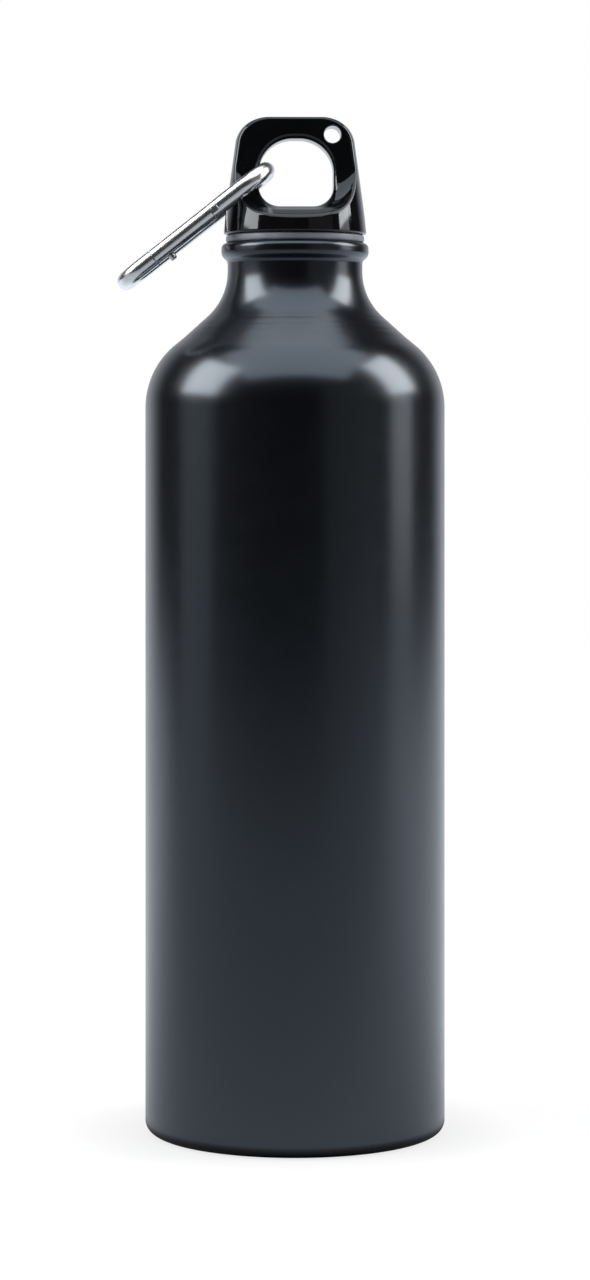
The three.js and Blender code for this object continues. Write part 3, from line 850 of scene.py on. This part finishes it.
ALONG_GATE = GATE_PLACE @ Matrix.Rotation(math.pi / 2, 4, "Y")
cross_place = GATE_PLACE @ Matrix.Translation((latch_pin_at * MM, 0, 0))
cross_line = rod_line(LATCH_PIN, -CROSS_HALF, CROSS_HALF, CROSS_EDGE)
cross_pin = pin("cross_pin", cross_line, cross_place, 24)
hand_over(cross_pin, "gate", "latch_pin")
plunger_line = rod_line(PLUNGER, PLUNGER_LOW, PLUNGER_HIGH, PLUNGER_EDGE)
plunger = pin("plunger", plunger_line, ALONG_GATE, 24)
hand_over(plunger, "plunger", "gate_plunger")

# %% [markdown]
# ## The spring
# A coil of fine wire lies behind the plunger in the gate's bore. It is a circle that is wound up a
# helix as the thread was. As the gate opens, the plunger is pushed in and the real coil gets shorter;
# here the coil keeps its length and moves with the gate.

# %% Wind the spring
WIRE = 0.2
COIL = 0.6
COIL_TURNS = 6
COIL_PITCH = 1.1
COIL_STEPS = 24
COIL_LOW = PLUNGER_HIGH + LATCH_GAP + WIRE
coil_line = [(COIL + x, z + COIL_LOW) for x, z in circle((0, 0), WIRE, 10)]
coil = wind("coil", coil_line, COIL_TURNS, COIL_PITCH, COIL_STEPS)
take_up(coil)
bpy.ops.object.shade_smooth_by_angle(angle=PIN_SMOOTH)
settle(coil, ALONG_GATE)
hand_over(coil, "gate", "gate_spring")
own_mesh(coil)

# %% [markdown]
# ## Finishes
# Every finish is a Principled shader with a grain of its own: noise on the piece's Object
# coordinates that varies the colour and the roughness a little and raises a fine bump. An image
# would need UV maps on every piece, and the noise needs none. Tones, polish and relief each end
# with the size of their grain in millimetres. A value that is the same all over stays on the
# shader's own socket.

# %% Grain
GRAIN_LOW = 0.3
GRAIN_HIGH = 0.7
GRAIN_DETAIL = 3


def grain(tree, size):
    where = tree.nodes.new("ShaderNodeTexCoord")
    noise = tree.nodes.new("ShaderNodeTexNoise")
    noise.inputs["Scale"].default_value = 1 / (size * MM)
    noise.inputs["Detail"].default_value = GRAIN_DETAIL
    tree.links.new(where.outputs["Object"], noise.inputs["Vector"])
    return noise.outputs["Fac"]


def map_range(tree, value, low, high, to_low=0.0, to_high=1.0):
    spread = tree.nodes.new("ShaderNodeMapRange")
    spread.inputs["From Min"].default_value = low
    spread.inputs["From Max"].default_value = high
    spread.inputs["To Min"].default_value = to_low
    spread.inputs["To Max"].default_value = to_high
    tree.links.new(value, spread.inputs["Value"])
    return spread.outputs["Result"]


def tint(tree, fac, dark, light):
    ramp = tree.nodes.new("ShaderNodeValToRGB")
    first, last = ramp.color_ramp.elements
    first.position, first.color = GRAIN_LOW, (*dark, 1)
    last.position, last.color = GRAIN_HIGH, (*light, 1)
    tree.links.new(fac, ramp.inputs["Fac"])
    return ramp.outputs["Color"]


def emboss(tree, fac, depth):
    bump = tree.nodes.new("ShaderNodeBump")
    bump.inputs["Strength"].default_value = 1
    bump.inputs["Distance"].default_value = depth * MM
    tree.links.new(fac, bump.inputs["Height"])
    return bump.outputs["Normal"]


print(f"grain: noise from {GRAIN_LOW} to {GRAIN_HIGH} fills the range of a finish")


# %% Mix a finish and put it on
def new_finish(name, tones, polish, relief, **sockets):
    finish = bpy.data.materials.new(name)
    finish.use_nodes = True
    tree = finish.node_tree
    shader = tree.nodes["Principled BSDF"]
    for socket, value in sockets.items():
        shader.inputs[socket.replace("_", " ")].default_value = value
    dark, light, size = tones
    tree.links.new(tint(tree, grain(tree, size), dark, light), shader.inputs["Base Color"])
    low, high, size = polish
    roughness = map_range(tree, grain(tree, size), GRAIN_LOW, GRAIN_HIGH, low, high)
    tree.links.new(roughness, shader.inputs["Roughness"])
    depth, size = relief
    tree.links.new(emboss(tree, grain(tree, size), depth), shader.inputs["Normal"])
    return finish


def dress(piece, *finishes):
    piece.data.materials.clear()
    for finish in finishes:
        piece.data.materials.append(finish)
    print(f"{piece.name}: {', '.join(finish.name for finish in finishes)}")


print("pieces that need a finish:", len(frame["nodes"]))

# %% [markdown]
# ## Black coat and liner
# The outside has a satin black coat. Its colour is nearly black, so what shows is its reflection,
# which is a little blue where it is seen straight on and white at the rims: a cool specular tint.
# The inside has a pale lacquer. Both are on one mesh, so each face is given one of the two.

# %% Coat the shell
coat = new_finish(
    "satin_black_coat",
    tones=((0.0012, 0.0014, 0.0019), (0.0018, 0.0021, 0.0028), 14),
    polish=(0.225, 0.25, 5), relief=(0.0015, 0.35),
    IOR=1.78, Specular_Tint=(0.75, 0.865, 1.0, 1),
)
liner = new_finish(
    "pale_liner",
    tones=((0.42, 0.4, 0.35), (0.5, 0.48, 0.43), 9),
    polish=(0.4, 0.5, 4), relief=(0.002, 0.5),
    IOR=1.45,
)
dress(bottle_shell, coat, liner)


def distance_to(line, places):
    line = np.array(line)
    middles = (line[1:] + line[:-1]) / 2
    return np.linalg.norm(places[:, None] - middles[None], axis=2).min(1)


centres = np.array([face.center for face in bottle_shell.data.polygons]) / MM
places = np.column_stack([np.hypot(centres[:, 0], centres[:, 1]), centres[:, 2]])
lined = distance_to(lined_line, places) < distance_to(coated_line, places)
bottle_shell.data.polygons.foreach_set("material_index", lined.astype(np.int32))
print(f"bottle_shell: {lined.sum()} of {len(lined)} faces have the liner")

# %% [markdown]
# ## Mouldings and seal
# The cap comes out of a polished mould, so it is a mirror gloss with a very slight ripple. The plug
# is the same plastic with a satin face, and the ring is soft grey silicone. Each could have a tree
# of nodes of its own, but only colour, polish and grain tell them apart, so one recipe serves all.

# %% Gloss, satin and silicone
gloss = new_finish(
    "gloss_black_moulding",
    tones=((0.0032, 0.0032, 0.0036), (0.0048, 0.0048, 0.0054), 8),
    polish=(0.05, 0.075, 3), relief=(0.004, 6),
    IOR=1.54, Specular_Tint=(0.85, 0.93, 1.0, 1),
)
satin = new_finish(
    "satin_black_moulding",
    tones=((0.008, 0.008, 0.009), (0.013, 0.013, 0.015), 4),
    polish=(0.3, 0.4, 2), relief=(0.002, 0.4),
    IOR=1.5,
)
silicone = new_finish(
    "grey_silicone",
    tones=((0.25, 0.268, 0.31), (0.31, 0.33, 0.375), 3),
    polish=(0.38, 0.5, 1), relief=(0.004, 0.3),
    IOR=1.43,
)
dress(cap_loop, gloss)
dress(cap_thread_plug, satin)
dress(seal_ring, silicone)

# %% [markdown]
# ## Metals
# The hook is polished, the pins and the spring are plain steel, and the plunger is brass. A metal's
# colour is the colour of its reflection, so Metallic is one. A low roughness alone would look like
# chrome, and a fine grain in it keeps the highlights soft.

# %% Bright rod, steel and brass
bright = new_finish(
    "polished_rod",
    tones=((0.76, 0.77, 0.79), (0.84, 0.85, 0.86), 6),
    polish=(0.22, 0.26, 1.2), relief=(0.0008, 1.5),
    Metallic=1.0,
)
steel = new_finish(
    "bright_steel",
    tones=((0.54, 0.55, 0.57), (0.64, 0.65, 0.67), 2),
    polish=(0.2, 0.32, 0.5), relief=(0.003, 0.3),
    Metallic=1.0,
)
brass = new_finish(
    "turned_brass",
    tones=((0.62, 0.5, 0.26), (0.74, 0.62, 0.36), 1.5),
    polish=(0.25, 0.36, 0.4), relief=(0.003, 0.2),
    Metallic=1.0,
)
for piece, metal in (
    (hook_rod, bright), (gate_bar, bright), (rivet, steel), (cross_pin, steel), (coil, steel),
    (plunger, brass),
):
    dress(piece, metal)

# %% [markdown]
# ## Floor
# The bottle stands on a plain white floor. To the camera the floor is white, and it keeps the
# bottle's soft shadow. That shadow is partly real and partly a painted shadow round the foot. In the
# bottle's reflection the floor glows with painted light: bright behind, dark in front and darkest at
# the foot, where a painted shadow is laid, as in a studio where only the back is lit.

# %% Lay the floor
FLOOR_SIZE = 3.0
FLOOR_BACK = 0.5
FLOOR_DROP = 0.0001
FLOOR_GREY = (0.13, 0.13, 0.13, 1)
put_down()
bpy.ops.mesh.primitive_plane_add(size=FLOOR_SIZE, location=(0, FLOOR_BACK, -FLOOR_DROP))
bpy.ops.object.transform_apply(location=True, rotation=True, scale=True)
floor = bpy.context.object
floor.name = "floor"
paper = bpy.data.materials.new("white_floor")
paper.use_nodes = True
tree = paper.node_tree
shader = tree.nodes["Principled BSDF"]
shader.inputs["Base Color"].default_value = FLOOR_GREY
shader.inputs["Roughness"].default_value = 0.9
shader.inputs["Specular IOR Level"].default_value = 0.0
floor.data.materials.append(paper)
print(f"floor: {FLOOR_SIZE} m square")

# %% How bright the camera sees the floor
FOOT = BODY_RADIUS * MM
PAINTED_FOOT_SHADOW = 0.78
NEAR_WHITE = 0.88
SHADE_END = 0.08
WHITE_FROM, WHITE_AT = 0.1, 0.9


def combine(tree, operation, first, second):
    both = tree.nodes.new("ShaderNodeMath")
    both.operation = operation
    tree.links.new(first, both.inputs[0])
    if isinstance(second, float):
        both.inputs[1].default_value = second
    else:
        tree.links.new(second, both.inputs[1])
    return both.outputs["Value"]


path = tree.nodes.new("ShaderNodeLightPath")
where = tree.nodes.new("ShaderNodeTexCoord")
from_axis = tree.nodes.new("ShaderNodeVectorMath")
from_axis.operation = "LENGTH"
tree.links.new(where.outputs["Object"], from_axis.inputs[0])
reach = from_axis.outputs["Value"]
# Round the foot the camera's white is brought down further. This is a painted shadow on the floor, on
# top of the real shadow that the lamps cast on its diffuse part.
near = map_range(tree, reach, FOOT, SHADE_END, PAINTED_FOOT_SHADOW)
far = map_range(tree, reach, WHITE_FROM, WHITE_AT, NEAR_WHITE)
seen = combine(tree, "MINIMUM", near, far)
seen = combine(tree, "MULTIPLY", seen, path.outputs["Is Camera Ray"])
print(f"floor: {PAINTED_FOOT_SHADOW} at the foot, {NEAR_WHITE} near it, 1 far away")

# %% How bright the bottle sees the floor
COOL_FLOOR = (0.87, 0.92, 1.0, 1)
FLOOR_TURN = math.radians(20)
FRONT, BACK = -1.2, 0.4
END_LEVELS = ((0.1, 0.1), (0.9, 1.0))
MIDDLE_LEVELS = ((0.4, 0.3), (0.62, 0.38))
FOOT_SHADE = 0.046
WHITE = (1, 1, 1, 1)


def white_to_camera(tree, path, tone):
    mix = tree.nodes.new("ShaderNodeMix")
    mix.data_type = "RGBA"
    _, elsewhere, seen = (plug for plug in mix.inputs if plug.enabled)
    elsewhere.default_value = tone
    seen.default_value = WHITE
    tree.links.new(path.outputs["Is Camera Ray"], mix.inputs["Factor"])
    return next(plug for plug in mix.outputs if plug.enabled)


# The floor's glow in reflections is painted light: dark in front and brighter behind, at the levels
# of the ramp.
mapping = tree.nodes.new("ShaderNodeMapping")
mapping.inputs["Rotation"].default_value.z = FLOOR_TURN
split = tree.nodes.new("ShaderNodeSeparateXYZ")
tree.links.new(where.outputs["Object"], mapping.inputs["Vector"])
tree.links.new(mapping.outputs["Vector"], split.inputs["Vector"])
ramp = tree.nodes.new("ShaderNodeValToRGB")
ramp.color_ramp.interpolation = "EASE"
for stop, (position, level) in zip(ramp.color_ramp.elements, END_LEVELS):
    stop.position = position
    stop.color = (level, level, level, 1)
for position, level in MIDDLE_LEVELS:
    ramp.color_ramp.elements.new(position).color = (level, level, level, 1)
tree.links.new(map_range(tree, split.outputs["Y"], FRONT, BACK), ramp.inputs["Fac"])
glossy, through = path.outputs["Is Glossy Ray"], path.outputs["Is Transmission Ray"]
mirrored = combine(tree, "MAXIMUM", glossy, through)
mirrored = combine(tree, "MULTIPLY", mirrored, ramp.outputs["Color"])
# Close to the foot this glow fades out, which is a painted shadow in the bottle's reflection.
mirrored = combine(tree, "MULTIPLY", mirrored, map_range(tree, reach, FOOT, FOOT_SHADE))
glow = combine(tree, "MAXIMUM", mirrored, seen)
tree.links.new(glow, shader.inputs["Emission Strength"])
tree.links.new(white_to_camera(tree, path, COOL_FLOOR), shader.inputs["Emission Color"])
print("floor: levels in reflections:", sorted(END_LEVELS + MIDDLE_LEVELS))

# %% [markdown]
# ## Room
# The camera sees a white room. For all other rays the room is white only behind the bottle, less so
# towards the top, and dark in front, which is why the bottle's middle is nearly black and its rims
# are bright. A picture of a studio could do this too, but nothing is read from a file here.

# %% Paint the room
COOL_ROOM = (0.9, 0.94, 1.0, 1)
ROOM_DIM = 0.025
BACK_FADE = (0.6, 0.86)
UP_FADE = (0.95, -0.15)
room = bpy.data.worlds.new("room")
bpy.context.scene.world = room
room.use_nodes = True
tree = room.node_tree
tree.nodes.clear()
output = tree.nodes.new("ShaderNodeOutputWorld")
light = tree.nodes.new("ShaderNodeBackground")
path = tree.nodes.new("ShaderNodeLightPath")
way = tree.nodes.new("ShaderNodeTexCoord")
split = tree.nodes.new("ShaderNodeSeparateXYZ")
tree.links.new(way.outputs["Generated"], split.inputs["Vector"])
behind = map_range(tree, split.outputs["Y"], *BACK_FADE)
low_down = map_range(tree, split.outputs["Z"], *UP_FADE)
backdrop = combine(tree, "MULTIPLY", behind, low_down)
backdrop = combine(tree, "MAXIMUM", backdrop, ROOM_DIM)
strength = combine(tree, "MAXIMUM", path.outputs["Is Camera Ray"], backdrop)
tree.links.new(strength, light.inputs["Strength"])
tree.links.new(white_to_camera(tree, path, COOL_ROOM), light.inputs["Color"])
tree.links.new(light.outputs["Background"], output.inputs["Surface"])
print(f"room: white behind, {ROOM_DIM} in front")

# %% [markdown]
# ## Lamps
# Seven soft boxes light the bottle. A tall one on each side makes the long stripes, with a weaker
# one under it for the lower side. A large faint one fills from the front right, and two overhead
# light the shoulder. Each is placed by its direction from the bottle, because a gloss surface shows
# where a lamp is, and its power follows from how bright the box itself should look.

# %% Soft boxes
COOL = (0.91, 0.955, 1.0)
WARM = (1.0, 0.98, 0.955)
AIM = Vector((0, 0, 0.19))


def soft_box(name, azimuth, elevation, distance, size, radiance, colour):
    a, e = math.radians(azimuth), math.radians(elevation)
    away = Vector((math.sin(a) * math.cos(e), -math.cos(a) * math.cos(e), math.sin(e)))
    put_down()
    bpy.ops.object.light_add(type="AREA", location=AIM + away * distance)
    lamp = bpy.context.object
    lamp.name = name
    lamp.rotation_euler = away.to_track_quat("Z", "Y").to_euler()
    lamp.data.shape = "RECTANGLE"
    lamp.data.size, lamp.data.size_y = size
    lamp.data.energy = radiance * math.pi * size[0] * size[1]
    lamp.data.color = colour
    lamp.visible_camera = False
    print(f"{name}: {lamp.data.energy:.2f} W")


soft_box("left_box", -82, 31, 1.2, (0.76, 0.78), 6.6, WARM)
soft_box("left_low", -82, 2, 1.2, (0.66, 0.42), 0.4, COOL)
soft_box("right_box", 91, 31.5, 1.2, (0.62, 0.78), 7.0, WARM)
soft_box("right_low", 87, 6, 1.2, (0.45, 0.42), 1.7, WARM)
soft_box("right_fill", 42, 5, 1.2, (0.9, 0.9), 0.13, WARM)
soft_box("top_box", 0, 70, 1.0, (1.55, 1.05), 1.9, COOL)
soft_box("top_back", 0, 105, 1.0, (0.75, 0.25), 1.9, COOL)

# %% [markdown]
# ## Camera
# The photograph looks level at the bottle from a little left of its middle and from the height of
# its upper half. The picture is moved down with the lens's shift, so the sides stay upright. To tilt
# the camera instead would make the sides lean together.

# %% Camera
CAMERA_AT = Vector((-0.0217, -0.868, 0.1705))
LENS = 98.8
SENSOR = 36
SHIFT_SHARE = -200 / 1280
put_down()
heading = math.atan2(CAMERA_AT.x, -CAMERA_AT.y)
bpy.ops.object.camera_add(location=CAMERA_AT, rotation=(math.pi / 2, 0, heading))
camera = bpy.context.object
camera.data.sensor_width = SENSOR
camera.data.lens = LENS
camera.data.shift_y = SHIFT_SHARE
bpy.context.scene.camera = camera
bpy.context.scene.view_settings.view_transform = "Standard"
print(f"camera: {CAMERA_AT.length:.3f} m from the origin, {LENS} mm lens")
